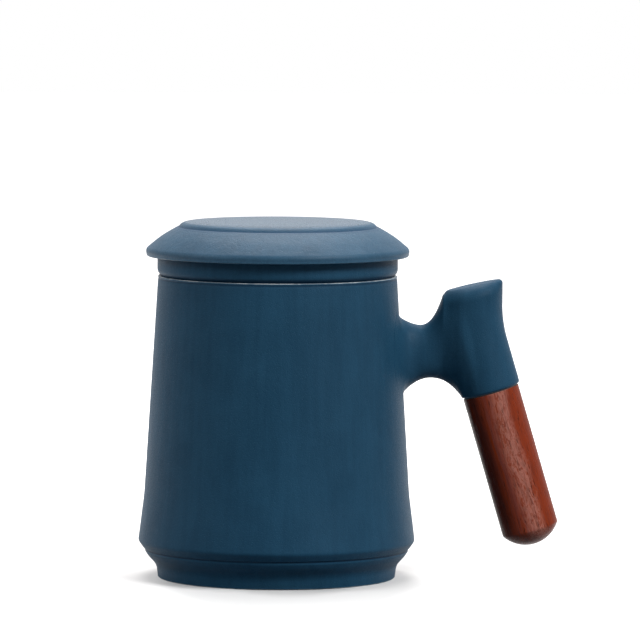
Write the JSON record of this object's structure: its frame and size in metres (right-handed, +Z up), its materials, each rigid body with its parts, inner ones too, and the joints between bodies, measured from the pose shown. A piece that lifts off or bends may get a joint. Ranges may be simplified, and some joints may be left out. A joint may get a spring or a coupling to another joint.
{
  "type": "lidded tea mug with infuser",
  "caption": "Tall stoneware tea mug with a lift-off lid, a lift-out strainer cup and a slanted turned wood grip on a side bracket.",
  "frame": {"origin": "centre of the foot ring, on the surface the mug stands on", "axes": "+Z up along the mug's axis, +X from the mug towards its handle"},
  "size_m": [0.1414, 0.0932, 0.12],
  "materials": {
    "stoneware": "matte deep-blue glaze with a fine grain",
    "cement": "dull pale cement",
    "steel": "turned stainless steel",
    "brass": "turned brass",
    "washer": "matte black",
    "rosewood": "oiled and polished red-brown wood, grain along the grip"
  },
  "bodies": {
    "mug": {"mug_body": "stoneware", "handle_bracket": "stoneware", "socket_cement": "cement", "bracket_sleeve": "steel", "grip_stud": "steel", "seam_washer": "washer", "grip_sleeve": "brass", "wood_grip": "rosewood"},
    "infuser": {"infuser_cup": "stoneware"},
    "lid": {"lid": "stoneware"}
  },
  "joints": [
    {"name": "infuser_lift", "type": "slide", "parent": "mug", "child": "infuser", "axis": [0, 0, 1], "range_m": [0, 0.085]},
    {"name": "lid_lift", "type": "slide", "parent": "infuser", "child": "lid", "axis": [0, 0, 1], "range_m": [0, 0.035]}
  ]
}
